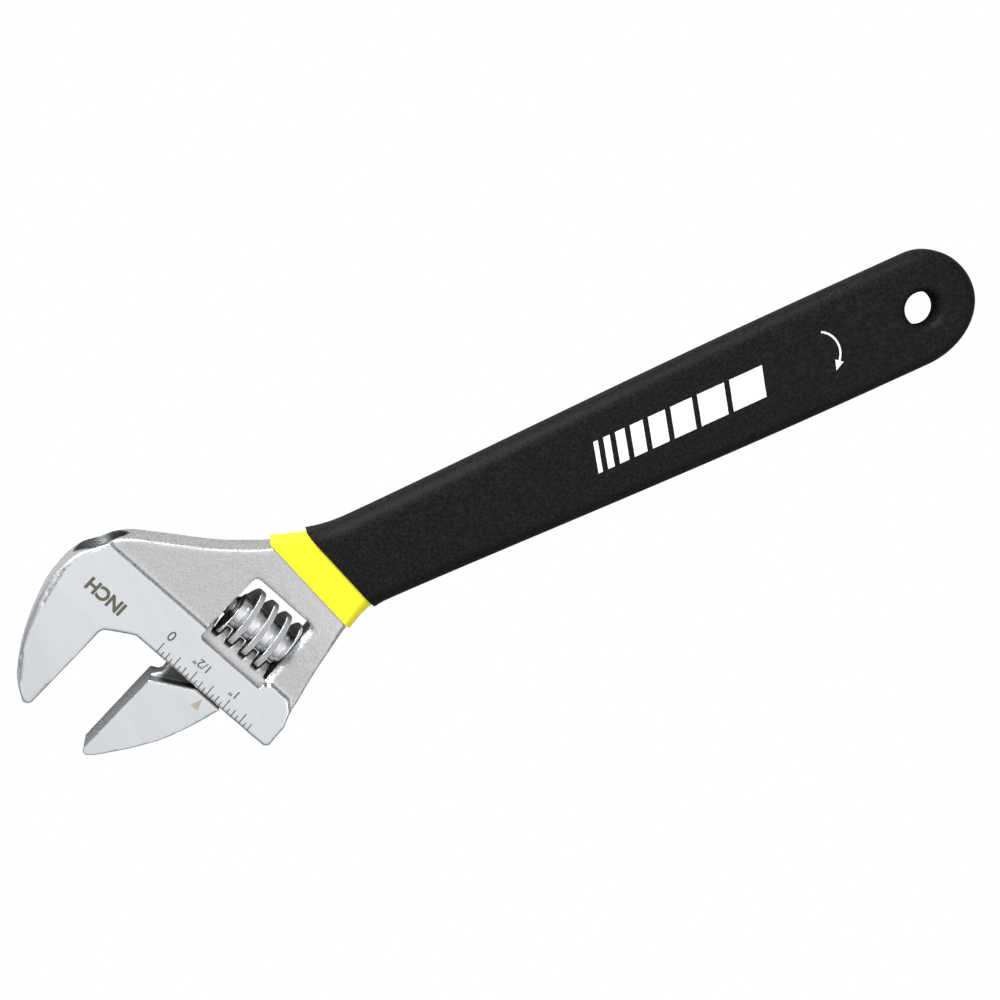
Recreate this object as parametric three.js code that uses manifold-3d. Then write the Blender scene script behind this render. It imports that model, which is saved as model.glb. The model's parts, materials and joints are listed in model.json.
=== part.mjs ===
// Adjustable wrench, 300 mm (12 inch) class, lying on its back. Millimetres, +Z up.
//
// Two frames share one origin, the zero mark on the lower edge of the head's plate:
//   shank frame: x runs along the handle to its free end, y across it, z out of the front face;
//   head frame: u is the direction in which the jaw opens, v points from the jaws to the worm.
// The head frame is the shank frame turned by HEAD_TURN about z. z = 0 is the mid-plane of both.
import * as THREE from "three";
import { mergeVertices } from "three/addons/utils/BufferGeometryUtils.js";
import Module from "manifold-3d";

const wasm = await Module();
wasm.setup();

// ---- driving dimensions ----------------------------------------------------------------------
const HEAD_TURN = -67.5; // degrees from the shank's x to the opening direction u
const PLATE_T = 16; // thickness across the ground plates of the head
const WEB_T = 13.6; // thickness of the forged web around the worm
const WEB_RIM = 1; // rounding of the web's rim
const TIP_T = 13.4; // thickness of both jaws at their tips
const PLATE_RIM = 0.7; // rounding of the ground plates' edges
const TAPER_V = -4; // where the jaws start to thin toward their tips
const JAW_DEPTH = 36.2; // from the plate's lower edge down to the jaw tips
const JAW_GAP = 19.8; // opening between the jaws as modelled

const FIXED_FACE_U = -15.9; // the fixed jaw's gripping face
const THROAT_U = -7.2; // where the fixed jaw's throat meets the plate's edge
const PLATE_END_U = 43; // right-hand corner of the plate
const PLATE_TOP_V = 15.2; // top of the ground plate

const SHANK_Y = -1.8; // the shank's centreline, measured from the zero mark
const SHANK_T = 9; // steel thickness of the shank behind the neck
const BUTT_T = 6.6; // and at its butt
const NECK_ROOT_X = 40; // station where the neck leaves the web
const UPPER_FLARE = [0.62, 38]; // slope and softness of the neck's upper edge
const LOWER_FLARE = [0.66, 11.5]; // the same of its lower edge
const NECK_X = 66; // station where the neck has become the shank
const NECK_W = 27.2; // width over the grip at its narrowest
const BUTT_X = 243.5; // station of the hanging hole
const BUTT_W = 33; // width over the grip at the butt
const BUTT_RISE = -0.35; // how far the butt's edges stand above the shank's centreline
const BUTT_END = 17.1; // from the hole to the very end, over the grip
const UPPER_ARC = 2; // from the hole to where the end's arc starts on the upper edge
const LOWER_ARC = -4; // the same on the lower edge
const HOLE_R = 5.05; // hanging hole, as lined by the grip
const HOLE_Y = -2.2; // its height, measured from the zero mark

const COAT_T = 0.85; // each of the two dipped vinyl coats
const COAT_GAP = 0.2; // clearance left between neighbouring layers
const COAT_LIP = 2.4; // rounding of the coats where they turn into the hanging hole
const DIP_LEAN = 17; // degrees by which the dip lines lean from square
const YELLOW_X = 48; // where the yellow coat starts, on the centreline
const BLACK_X = 58; // where the black coat starts, on the centreline

const RAIL_R = 5.9; // round rail of the movable jaw
const RAIL_V = 12.4; // height of the rail's axis above the plate's edge
const RAIL_FIT = 0.25; // radial clearance of the rail in its bore
const STEM_T = 6; // flat stem that joins the rail to the jaw
const STEM_FIT = 0.25; // clearance on each side of the stem in its slot
const STEM_SETBACK = 1.6; // from the moving jaw's face back to the front of its stem
const RACK_HOLD = 9; // length of rack still in the worm with the jaws shut
const SLIDE_FIT = 0.3; // gap between the jaw's shoulders and the plate's edge

const WORM_PITCH = 5.1;
const WORM_R = 8.9; // over the knurled crests
const WORM_ROOT_R = 5.2;
const WORM_LENGTH = 18.8;
const WORM_V = 23.8; // height of the worm's axis above the plate's edge
const CREST_W = 1.7; // width of a thread's crest
const ROOT_W = 3; // width of a thread at its root
const FRONT_CREST_U = 13.3; // a crest that passes the front of the worm
const MESH_PLAY = 0.3; // play between the worm's thread and the rack's teeth

const WINDOW_U = [6.4, 28.2]; // worm window
const WINDOW_V = [11.9, 35.6];
const WINDOW_R = 1.6; // rounding of its upper corners
const WORM_END_PLAY = 0.45; // between the worm and the window's right-hand wall

const PIN_R = 2.3; // plain part of the worm pin
const PIN_FIT = 0.2; // radial clearance on the pin
const PIN_HEAD_R = 3.4; // threaded head of the pin, in the head's right-hand wall
const PIN_HEAD_LENGTH = 6;
const PIN_SLOT = [1, 1.4]; // width and depth of its screwdriver slot
const PIN_SUNK = 0.4; // how far its end is sunk below the edge of the head
const PIN_SEAT = 4.5; // depth of the pin's blind seat in the left-hand wall
const SPRING_WIRE = 0.8;
const SPRING_FIT = 0.5; // gap between the pin and the spring's coils
const SPRING_R = PIN_R + SPRING_FIT + SPRING_WIRE / 2; // mean radius of the take-up spring
const SPRING_TURNS = 3.5;
const SPRING_POCKET = 4.2; // depth of the counterbore that holds the spring

// ---- helpers -----------------------------------------------------------------------------------
const rad = THREE.MathUtils.degToRad;

function solidOf(geometry) {
  const bare = geometry.clone();
  bare.deleteAttribute("normal");
  bare.deleteAttribute("uv");
  const merged = mergeVertices(bare, 1e-4);
  const vertProperties = new Float32Array(merged.attributes.position.array);
  const triVerts = new Uint32Array(merged.index.array);
  return new wasm.Manifold(new wasm.Mesh({ numProp: 3, vertProperties, triVerts }));
}

function geometryOf(solid) {
  const mesh = solid.getMesh();
  const geometry = new THREE.BufferGeometry();
  geometry.setAttribute("position", new THREE.BufferAttribute(mesh.vertProperties, 3));
  geometry.setIndex(new THREE.BufferAttribute(mesh.triVerts, 1));
  geometry.computeVertexNormals();
  return geometry;
}

// A flat outline as a slab centred on z = 0, with its rim rounded or chamfered by edge.
function slab(shape, thickness, edge = 0, steps = 3) {
  const geometry = new THREE.ExtrudeGeometry(shape, {
    depth: thickness - 2 * edge,
    bevelEnabled: edge > 0,
    bevelSize: edge,
    bevelThickness: edge,
    bevelOffset: -edge,
    bevelSegments: steps,
    curveSegments: 8,
  });
  return solidOf(geometry.translate(0, 0, edge - thickness / 2));
}

function outline(points) {
  return new THREE.Shape(points.map(([x, y]) => new THREE.Vector2(x, y)));
}

// Points of a smooth curve through the given knots, each segment cut into a few steps.
function smooth(knots, steps) {
  const curve = new THREE.SplineCurve(knots.map(([x, y]) => new THREE.Vector2(x, y)));
  return curve.getPoints(steps).map((p) => [p.x, p.y]);
}

function box(u0, u1, v0, v1, z0, z1) {
  const geometry = new THREE.BoxGeometry(u1 - u0, v1 - v0, z1 - z0);
  return solidOf(geometry.translate((u0 + u1) / 2, (v0 + v1) / 2, (z0 + z1) / 2));
}

// A round bar along u between two stations.
function bar(radius, u0, u1, v = 0, sides = 28) {
  const geometry = new THREE.CylinderGeometry(radius, radius, u1 - u0, sides);
  geometry.rotateZ(-Math.PI / 2);
  return solidOf(geometry.translate((u0 + u1) / 2, v, 0));
}

// From the shank frame into the head frame.
function toHead(x, y) {
  const p = new THREE.Vector2(x, y).rotateAround(new THREE.Vector2(), rad(-HEAD_TURN));
  return [p.x, p.y];
}

// Closed surface through rings of equally many points; each ring is an array of Vector3.
function loft(rings) {
  const count = rings[0].length;
  const middle = (ring) =>
    ring.reduce((sum, p) => sum.add(p), new THREE.Vector3()).divideScalar(count);
  const points = [...rings.flat(), middle(rings[0]), middle(rings.at(-1))];
  const first = rings.length * count;
  const index = [];
  for (let i = 0; i < count; i++) {
    const next = (i + 1) % count;
    index.push(first, next, i);
    index.push(first + 1, (rings.length - 1) * count + i, (rings.length - 1) * count + next);
    for (let r = 0; r < rings.length - 1; r++) {
      const a = r * count + i;
      const b = r * count + next;
      index.push(a, b, b + count, a, b + count, a + count);
    }
  }
  const geometry = new THREE.BufferGeometry().setFromPoints(points);
  geometry.setIndex(index);
  return solidOf(geometry);
}

// ---- the shank and its coats ---------------------------------------------------------------------
const LAYERS = 2 * (COAT_T + COAT_GAP); // steel to the outside of the grip
const SHANK_RIM = 0.75; // rim radius of the shank as a share of its half thickness

// How much of the way the shank has tapered from the neck's size to the butt's.
const taper = (x) => THREE.MathUtils.clamp((x - NECK_X) / (BUTT_X - 20 - NECK_X), 0, 1);

// How far the grip reaches to one side of the centreline at station x: up is the fixed-jaw side.
function gripReach(x, side) {
  const share = Math.sin((taper(x) * Math.PI) / 2) ** 1.3;
  const width = THREE.MathUtils.lerp(NECK_W, BUTT_W, share);
  const toHeadEnd = Math.max(NECK_X - x, 0);
  const [slope, softness] = side > 0 ? UPPER_FLARE : LOWER_FLARE;
  return width / 2 + side * share * BUTT_RISE + slope * (Math.hypot(toHeadEnd, softness) - softness);
}

// 0 where the neck leaves the web, 1 where it has become the shank.
const neckShare = (x) => THREE.MathUtils.smoothstep(x, NECK_ROOT_X, NECK_X - 4);

function steelHalfThickness(x) {
  const shank = THREE.MathUtils.lerp(SHANK_T, BUTT_T, taper(x)) / 2;
  return THREE.MathUtils.lerp(WEB_T / 2 - 0.05, shank, neckShare(x));
}

// A section across the shank at station x, grown by the layers on it. Toward the butt, the rim
// follows the arc of the end.
function shankRing(x, grown) {
  const steps = 4;
  const half = steelHalfThickness(x) + grown;
  const rim = THREE.MathUtils.lerp(WEB_RIM, half * SHANK_RIM, neckShare(x));
  const quarter = (side) => {
    const arcStart = BUTT_X + (side > 0 ? UPPER_ARC : LOWER_ARC);
    const arcLength = BUTT_X + BUTT_END - LAYERS + grown - arcStart;
    const past = Math.max(x - arcStart, 0);
    const reach = gripReach(x, side) - LAYERS + grown;
    const deepest = Math.min(rim, arcLength - past);
    return Array.from({ length: steps + 1 }, (_, k) => {
      const inset = deepest * (1 - Math.cos((k / steps) * (Math.PI / 2)));
      const along = past / Math.max(arcLength - inset, past, 1e-6);
      const y = (reach - inset) * Math.sqrt(1 - along * along);
      const z = half - rim + Math.sqrt(Math.max(rim * rim - (rim - inset) ** 2, 0));
      return [side * y, z];
    });
  };
  const front = [...quarter(1), ...quarter(-1).reverse()];
  const back = front.map(([y, z]) => [y, -z]).reverse();
  return [...front, ...back].map(([y, z]) => new THREE.Vector3(x, SHANK_Y + y, z));
}

function shankSolid(from, grown) {
  const stations = [];
  const arcStart = BUTT_X + LOWER_ARC;
  for (let x = from; x < NECK_X; x += 4) stations.push(x);
  for (let x = NECK_X; x < arcStart - 5; x += 20) stations.push(x);
  const arcLength = BUTT_END - LOWER_ARC - LAYERS + grown;
  const arcs = 12;
  for (let k = 0; k <= arcs; k++) {
    stations.push(arcStart + (arcLength - 0.02) * Math.sin((k / arcs) * (Math.PI / 2)));
  }
  return loft(stations.map((x) => shankRing(x, grown)));
}

// An upright round solid through the middle of the butt.
function buttLathe(profile) {
  const geometry = new THREE.LatheGeometry(profile.map(([r, z]) => new THREE.Vector2(r, z)), 32);
  geometry.rotateX(Math.PI / 2);
  return solidOf(geometry.translate(BUTT_X, HOLE_Y, 0));
}

// The hanging hole, flared to a rounded lip at both faces of a layer with the given half thickness.
function hangingHole(radius, half, lip) {
  const steps = 4;
  const flare = Array.from({ length: steps + 1 }, (_, k) => {
    const turn = (k / steps) * (Math.PI / 2);
    return [radius + lip * (1 - Math.cos(turn)), half - lip + lip * Math.sin(turn)];
  });
  const upper = [...flare, [radius + lip, half + 1], [0, half + 1]];
  const lower = upper.map(([r, z]) => [r, -z]).reverse();
  return buttLathe([...lower, ...upper]);
}

// Everything on the butt side of a leaning plane across the neck.
function buttSide(x) {
  const geometry = new THREE.BoxGeometry(400, 200, 60).translate(200, 0, 0);
  geometry.rotateZ(rad(DIP_LEAN));
  return solidOf(geometry.translate(x, SHANK_Y, 0));
}

function coat(startX, inner) {
  const outer = inner + COAT_T;
  const half = BUTT_T / 2 + outer;
  const shell = shankSolid(startX - 16, outer).subtract(shankSolid(startX - 20, inner));
  const hole = HOLE_R + LAYERS - outer;
  return shell
    .add(liningOf(inner, hole + COAT_T))
    .intersect(buttSide(startX))
    .subtract(hangingHole(hole, half, COAT_LIP));
}

// The wall of a coat that runs through the hanging hole, from inside one face to inside the other.
function liningOf(inner, radius) {
  const half = BUTT_T / 2 + inner + COAT_T / 2;
  return buttLathe([[0, -half], [radius, -half], [radius, half], [0, half]]);
}

const yellowCoat = () => coat(YELLOW_X, COAT_GAP);
const blackCoat = () => coat(BLACK_X, 2 * COAT_GAP + COAT_T);

// ---- the forging -----------------------------------------------------------------------------
// Outer edge of the fixed jaw and the back of the head, from the jaw tip up to the rail bore.
// The third value is how far the ground plate stays inside the forging's edge.
const FIXED_BACK = [
  [-20.6, -JAW_DEPTH + 1.4, 0.3], [-24, -32, 0.8], [-27.8, -26.9, 1.1], [-31.3, -20.8, 1.6],
  [-34.1, -13.9, 2], [-36.2, -6.6, 2.1], [-36.8, 1, 1.6], [-36, 7, 1.1], [-33.9, 11.2, 0.9],
  [-31.4, PLATE_TOP_V + 0.6, 0.9],
];
// The upper edge of the head, down the slope toward the neck.
const HEAD_TOP = [[-31.4, PLATE_TOP_V + 0.6], [-27.4, 20.3], [-17.5, 27.3], [-7.5, 34.4]];
// The right-hand edge of the head, up from the plate's corner toward the neck.
const HEAD_RIGHT = [
  [PLATE_END_U - 0.3, 5], [PLATE_END_U - 1.3, 11], [PLATE_END_U - 2.7, 17],
  [PLATE_END_U - 4.3, WORM_V],
];
const PIN_HEAD_START = HEAD_RIGHT.at(-1)[0] - PIN_SUNK - PIN_HEAD_LENGTH;
// The throat between the fixed jaw's gripping face and the plate's edge.
const THROAT = [
  [FIXED_FACE_U, -6], [FIXED_FACE_U + 0.5, -4.9], [FIXED_FACE_U + 1.6, -4.1],
  [THROAT_U - 1.4, -0.6], [THROAT_U, 0],
];
const JAW_TIP = [
  [FIXED_FACE_U, -JAW_DEPTH + 1.7], [FIXED_FACE_U - 0.7, -JAW_DEPTH + 0.4],
  [FIXED_FACE_U - 2.2, -JAW_DEPTH],
];

// The edge that the head's outline and the plate's share, from the jaw tip to the plate's corner.
const LOWER_EDGE = [...JAW_TIP.toReversed(), ...THROAT, [PLATE_END_U - 1.2, 0], [PLATE_END_U, 1.2]];

// Full outline of the head down into the neck.
function headOutline() {
  const neck = (side) => {
    const reach = gripReach(NECK_ROOT_X, side) - LAYERS;
    return toHead(NECK_ROOT_X, SHANK_Y + side * reach);
  };
  return outline([
    ...LOWER_EDGE,
    ...smooth([...HEAD_RIGHT, neck(-1)], 16),
    ...smooth([...HEAD_TOP, neck(1)], 26).reverse(),
    ...smooth(FIXED_BACK, 44).reverse().slice(1),
  ]);
}

// Knots of a curve moved to its right by each knot's third value.
function insetKnots(knots) {
  return knots.map(([u, v, by], k) => {
    const [u0, v0] = knots[Math.max(k - 1, 0)];
    const [u1, v1] = knots[Math.min(k + 1, knots.length - 1)];
    const step = Math.hypot(u1 - u0, v1 - v0);
    return [u + (by * (v1 - v0)) / step, v - (by * (u1 - u0)) / step];
  });
}

// The ground plate: the fixed jaw and the strip over the rail.
function plateOutline() {
  const back = smooth(insetKnots(FIXED_BACK), 44).filter(([, v]) => v < PLATE_TOP_V - 0.5);
  return outline([
    ...LOWER_EDGE, [PLATE_END_U - 0.4, 8], [PLATE_END_U - 2.2, 12.6],
    [PLATE_END_U - 5.2, PLATE_TOP_V], [back.at(-1)[0] + 0.6, PLATE_TOP_V], ...back.reverse(),
  ]);
}

// Wedges that thin a jaw of the given root thickness toward its tip, on both faces.
function jawTaper(rootT) {
  const depth = JAW_DEPTH + 2;
  const slope = (PLATE_T - TIP_T) / 2 / (JAW_DEPTH + TAPER_V);
  const shape = outline([
    [TAPER_V, rootT / 2], [TAPER_V, PLATE_T], [-depth, PLATE_T],
    [-depth, rootT / 2 - slope * (depth + TAPER_V)],
  ]);
  const width = 120;
  const geometry = new THREE.ExtrudeGeometry(shape, { depth: width, bevelEnabled: false });
  // profile x runs along v and profile y along z; the extrusion runs along u
  geometry.applyMatrix4(
    new THREE.Matrix4().makeBasis(
      new THREE.Vector3(0, 1, 0), new THREE.Vector3(0, 0, 1), new THREE.Vector3(1, 0, 0),
    ),
  );
  const upper = solidOf(geometry.translate(-width / 2, 0, 0));
  return upper.add(upper.mirror([0, 0, 1]));
}

function windowOpening() {
  const [u0, u1] = WINDOW_U;
  const [v0, v1] = WINDOW_V;
  const r = WINDOW_R;
  const shape = new THREE.Shape();
  shape.moveTo(u0, v0);
  shape.lineTo(u1 + 1, v0);
  shape.lineTo(u1, v1 - r);
  shape.absarc(u1 - r, v1 - r, r, 0, Math.PI / 2, false);
  shape.absarc(u0 + r, v1 - r, r, Math.PI / 2, Math.PI, false);
  return slab(shape, 2 * PLATE_T);
}

// Rail bore and stem slot, open at both sides of the head.
function railWay() {
  const bore = bar(RAIL_R + RAIL_FIT, -60, 60, RAIL_V, 32);
  const half = STEM_T / 2 + STEM_FIT;
  const slot = box(FIXED_FACE_U + STEM_SETBACK - RAIL_FIT, 60, -8, RAIL_V, -half, half);
  return bore.add(slot);
}

function pinWay() {
  const seat = WINDOW_U[0] - PIN_SEAT;
  const plain = bar(PIN_R + PIN_FIT, seat, 60, WORM_V, 24);
  const head = bar(PIN_HEAD_R + PIN_FIT, PIN_HEAD_START - SLIDE_FIT, 60, WORM_V, 28);
  return plain.add(head);
}

function forgedBody() {
  const steel = shankSolid(NECK_ROOT_X - 2, 0).rotate([0, 0, -HEAD_TURN]);
  const hole = hangingHole(HOLE_R + LAYERS, BUTT_T / 2, 0.8).rotate([0, 0, -HEAD_TURN]);
  const web = slab(headOutline(), WEB_T, WEB_RIM).subtract(jawTaper(WEB_T));
  const plate = slab(plateOutline(), PLATE_T, PLATE_RIM, 2).subtract(jawTaper(PLATE_T));
  return web
    .add(plate)
    .add(steel)
    .subtract(railWay())
    .subtract(windowOpening())
    .subtract(pinWay())
    .subtract(hole);
}

// ---- the movable jaw -------------------------------------------------------------------------
const WORM_END = WINDOW_U[1] - WORM_END_PLAY;
const WORM_START = WORM_END - WORM_LENGTH;
const MOVING_FACE_U = FIXED_FACE_U + JAW_GAP;
const MOVING_JAW_W = 21.3; // width of the movable jaw along the plate's edge
// Outer edge of the movable jaw, from its tip up, measured from its gripping face.
const MOVING_BACK = [
  [3.7, -34.6], [6.2, -31.4], [10.9, -24.7], [15.2, -17.4], [18.5, -9.2], [20, -4.6],
];
const SHOULDER_W = 12.4; // width of the slope from the jaw's face up to the plate's edge
const SHOULDER_V = -7.1; // height at which that slope meets the face

function movingJawOutline() {
  const back = smooth(MOVING_BACK, 26).map(([u, v]) => [MOVING_FACE_U + u, v]);
  return outline([
    [MOVING_FACE_U, -JAW_DEPTH + 1.2], [MOVING_FACE_U + 0.6, -JAW_DEPTH + 0.2],
    [MOVING_FACE_U + 1.8, -JAW_DEPTH], ...back,
    [MOVING_FACE_U + MOVING_JAW_W, -SLIDE_FIT], [MOVING_FACE_U + SHOULDER_W, -SLIDE_FIT],
    [MOVING_FACE_U, SHOULDER_V],
  ]);
}

// The thin ridge at mid-thickness that joins the jaw to its stem, notched behind the face.
function jawRidge() {
  const front = MOVING_FACE_U + STEM_SETBACK;
  return outline([
    [MOVING_FACE_U, SHOULDER_V - 2.8], [front + SHOULDER_W - 4, SHOULDER_V - 2.8],
    [front + SHOULDER_W, -SLIDE_FIT], [front, -SLIDE_FIT],
    [front + 0.3, SHOULDER_V * 0.55], [MOVING_FACE_U, SHOULDER_V + 0.8],
  ]);
}

// Half width of the worm's thread at radius r from its axis.
function threadHalf(r) {
  const flank = (ROOT_W - CREST_W) / 2 / (WORM_R - WORM_ROOT_R);
  return CREST_W / 2 + (WORM_R - r) * flank;
}

// The groove between two rack teeth that the worm's thread passes at station u. It leans with
// the thread's lead.
function rackGroove(u) {
  const deepR = WORM_R + MESH_PLAY;
  const openR = WORM_ROOT_R - 2;
  const deep = threadHalf(WORM_R) + MESH_PLAY;
  const open = threadHalf(openR) + MESH_PLAY;
  const shape = outline([[-open, -openR], [-deep, -deepR], [deep, -deepR], [open, -openR]]);
  const groove = new THREE.ExtrudeGeometry(shape, { depth: 30, bevelEnabled: false });
  groove.translate(0, 0, -15);
  const lead = WORM_PITCH / (2 * Math.PI) / (WORM_R - 1.5);
  groove.applyMatrix4(new THREE.Matrix4().makeShear(0, 0, 0, 0, -lead, 0));
  return solidOf(groove.translate(u, WORM_V, 0));
}

function movableJaw() {
  const stemStart = MOVING_FACE_U + STEM_SETBACK;
  const railEnd = WORM_START + RACK_HOLD + JAW_GAP;
  const half = STEM_T / 2;
  let jaw = slab(movingJawOutline(), PLATE_T, PLATE_RIM, 2)
    .subtract(jawTaper(PLATE_T))
    .add(slab(jawRidge(), STEM_T, 0.8, 2))
    .add(box(stemStart, MOVING_FACE_U + MOVING_JAW_W - 1, -2, RAIL_V, -half, half))
    .add(bar(RAIL_R, stemStart, railEnd, RAIL_V, 32));
  // a crest that passes the front of the worm at u passes the rail a quarter turn later
  const firstGroove = FRONT_CREST_U + WORM_PITCH / 4 - WORM_PITCH * 2;
  for (let u = firstGroove; u < railEnd + ROOT_W; u += WORM_PITCH) {
    jaw = jaw.subtract(rackGroove(u));
  }
  return jaw;
}

// ---- worm, pin and spring --------------------------------------------------------------------
// One continuous thread, swept round the u axis as a ring of profiles.
function thread() {
  const perTurn = 28;
  const inner = WORM_ROOT_R - 1;
  const from = Math.floor((WORM_START - FRONT_CREST_U) / WORM_PITCH) - 1;
  const to = Math.ceil((WORM_END - FRONT_CREST_U) / WORM_PITCH) + 1;
  const rings = [];
  for (let k = from * perTurn; k <= to * perTurn; k++) {
    const turn = (k / perTurn) * 2 * Math.PI;
    const u = FRONT_CREST_U + (k / perTurn) * WORM_PITCH;
    const ring = [
      [inner, threadHalf(inner)], [WORM_R, threadHalf(WORM_R)],
      [WORM_R, -threadHalf(WORM_R)], [inner, -threadHalf(inner)],
    ].map(([r, du]) => {
      const angle = Math.PI / 2 + turn; // the front of the worm faces +z
      return new THREE.Vector3(u + du, r * Math.cos(angle), r * Math.sin(angle));
    });
    rings.push(ring);
  }
  return loft(rings);
}

function wormKnurl() {
  const start = WORM_START;
  const end = WORM_END;
  return bar(WORM_ROOT_R, start, end, 0, 28)
    .add(thread().intersect(bar(WORM_R + 1, start, end, 0, 32)))
    .subtract(bar(PIN_R + PIN_FIT, start - 1, end + 1, 0, 24))
    .subtract(bar(SPRING_R + SPRING_WIRE / 2 + PIN_FIT, start - 1, start + SPRING_POCKET, 0, 24))
    .translate([0, WORM_V, 0]);
}

function wormPin() {
  const [slotWidth, slotDepth] = PIN_SLOT;
  const start = WINDOW_U[0] - PIN_SEAT + SLIDE_FIT;
  const headEnd = PIN_HEAD_START + PIN_HEAD_LENGTH;
  return bar(PIN_R, start, PIN_HEAD_START + 0.5, 0, 24)
    .add(bar(PIN_HEAD_R, PIN_HEAD_START, headEnd, 0, 28))
    .subtract(box(headEnd - slotDepth, headEnd + 1, -5, 5, -slotWidth / 2, slotWidth / 2))
    .translate([0, WORM_V, 0]);
}

class Helix extends THREE.Curve {
  constructor(radius, start, length, turns) {
    super();
    Object.assign(this, { radius, start, length, turns });
  }
  getPoint(t, target = new THREE.Vector3()) {
    const a = t * this.turns * 2 * Math.PI;
    return target.set(
      this.start + t * this.length, this.radius * Math.cos(a), this.radius * Math.sin(a),
    );
  }
}

function takeUpSpring() {
  const wire = SPRING_WIRE / 2;
  const start = WINDOW_U[0] + wire + 0.15;
  const end = WORM_START + SPRING_POCKET - wire - 0.15;
  const round = new THREE.Shape().absarc(0, 0, wire, 0, 2 * Math.PI);
  const geometry = new THREE.ExtrudeGeometry(round, {
    extrudePath: new Helix(SPRING_R, start, end - start, SPRING_TURNS),
    steps: Math.round(SPRING_TURNS * 14),
    curveSegments: 6,
    bevelEnabled: false,
  });
  return solidOf(geometry).translate([0, WORM_V, 0]);
}

// ---- materials and assembly --------------------------------------------------------------------
const material = (color, roughness, metalness) =>
  new THREE.MeshStandardMaterial({ color, roughness, metalness });

const chrome = material(0xc9ced2, 0.28, 1);
const bright = material(0xd8dcdf, 0.18, 1);
const steelWire = material(0x9a9da0, 0.35, 1);
const yellow = material(0xf5e614, 0.45, 0);
const black = material(0x1a1c1b, 0.75, 0);

function part(name, solid, surface) {
  const mesh = new THREE.Mesh(geometryOf(solid), surface);
  mesh.name = name;
  return mesh;
}

const head = new THREE.Group();
head.rotation.z = rad(HEAD_TURN);
head.add(
  part("forged_body", forgedBody(), chrome),
  part("movable_jaw", movableJaw(), chrome),
  part("worm_knurl", wormKnurl(), bright),
  part("worm_pin", wormPin(), bright),
  part("worm_spring", takeUpSpring(), steelWire),
);

const wrench = new THREE.Group();
wrench.add(
  head,
  part("yellow_undercoat", yellowCoat(), yellow),
  part("black_grip", blackCoat(), black),
);

// The row's origin is the middle of the bounding box's underside.
const assembly = new THREE.Group();
assembly.add(wrench);
assembly.updateMatrixWorld(true);
const bounds = new THREE.Box3().setFromObject(wrench, true);
const centre = bounds.getCenter(new THREE.Vector3());
wrench.position.set(-centre.x, -centre.y, -bounds.min.z);

export default assembly;
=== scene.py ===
"""The looks of the adjustable wrench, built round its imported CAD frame.

Lengths named *_MM are millimetres; everything in Blender is in metres, in the CAD's row frame.
Head frame: u is the direction in which the jaw opens, v points from the jaws to the worm, and w
is the height above the wrench's mid-plane. Shank frame: x along the handle, y across it.
Both start at the zero mark on the lower edge of the head's plate.
"""
import bpy
import bmesh
import json
import math
import numpy as np
from mathutils import Matrix, Vector


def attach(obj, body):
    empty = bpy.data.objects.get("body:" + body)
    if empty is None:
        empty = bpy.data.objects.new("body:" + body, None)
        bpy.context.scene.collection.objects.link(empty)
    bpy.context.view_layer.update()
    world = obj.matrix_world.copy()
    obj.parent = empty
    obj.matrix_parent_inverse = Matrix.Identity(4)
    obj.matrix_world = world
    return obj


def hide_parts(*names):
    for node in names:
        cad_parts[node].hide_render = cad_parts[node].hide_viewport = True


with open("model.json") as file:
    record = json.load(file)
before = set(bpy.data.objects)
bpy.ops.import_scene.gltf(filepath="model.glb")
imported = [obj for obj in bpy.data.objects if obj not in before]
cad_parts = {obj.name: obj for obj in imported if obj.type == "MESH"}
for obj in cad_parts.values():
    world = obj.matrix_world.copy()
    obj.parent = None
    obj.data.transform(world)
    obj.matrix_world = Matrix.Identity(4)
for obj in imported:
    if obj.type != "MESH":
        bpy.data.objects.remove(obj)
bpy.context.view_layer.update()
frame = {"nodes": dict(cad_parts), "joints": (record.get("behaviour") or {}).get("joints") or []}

MM = 0.001
TAU = 2 * math.pi

# ---- the frame's own places ---------------------------------------------------------------------
WORM_MID_MM = (18.3, 23.8)  # u and v of the worm joint's point
worm_joint = next(j for j in frame["joints"] if j["name"] == "worm_spin")
U_AXIS = Vector(worm_joint["axis"]).normalized()
W_AXIS = Vector((0, 0, 1))
V_AXIS = W_AXIS.cross(U_AXIS)
ZERO = Vector(worm_joint["pos_m"]) - (U_AXIS * WORM_MID_MM[0] + V_AXIS * WORM_MID_MM[1]) * MM

# ---- sizes that the pieces share ----------------------------------------------------------------
PLATE_HALF_MM = 8.0
WEB_HALF_MM = 6.8
PLATE_TOP_MM = 15.2
SHANK_Y_MM = -1.8
SHANK_HALF_MM, BUTT_HALF_MM = 4.5, 3.3
NECK_ROOT_MM, NECK_MM, BUTT_MM = 40.0, 66.0, 243.5
NECK_W_MM, BUTT_W_MM, BUTT_RISE_MM = 27.2, 33.0, -0.35
BUTT_END_MM, UPPER_ARC_MM, LOWER_ARC_MM = 17.1, 2.0, -4.0
UPPER_FLARE, LOWER_FLARE = (0.62, 38.0), (0.66, 11.5)
WEB_RIM_MM, SHANK_RIM = 1.0, 0.75
COAT_MM, COAT_GAP_MM = 0.85, 0.2
LAYERS_MM = 2 * (COAT_MM + COAT_GAP_MM)
DIP_LEAN = math.radians(17)
YELLOW_MM, BLACK_MM = 48.0, 58.0
HOLE_Y_MM, HOLE_R_MM, COAT_LIP_MM = -2.2, 5.05, 2.4
PITCH_MM, WORM_R_MM, WORM_ROOT_MM = 5.1, 8.9, 5.2
WORM_START_MM, WORM_END_MM = 8.95, 27.75
RAIL_V_MM, RAIL_MOUTH_R_MM = 12.4, 6.7
FIXED_FACE_MM, MOVING_FACE_MM = -15.9, 3.9  # the gripping faces
FRONT_CREST_MM, CREST_MM, ROOT_MM = 13.3, 1.7, 3.0


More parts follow.
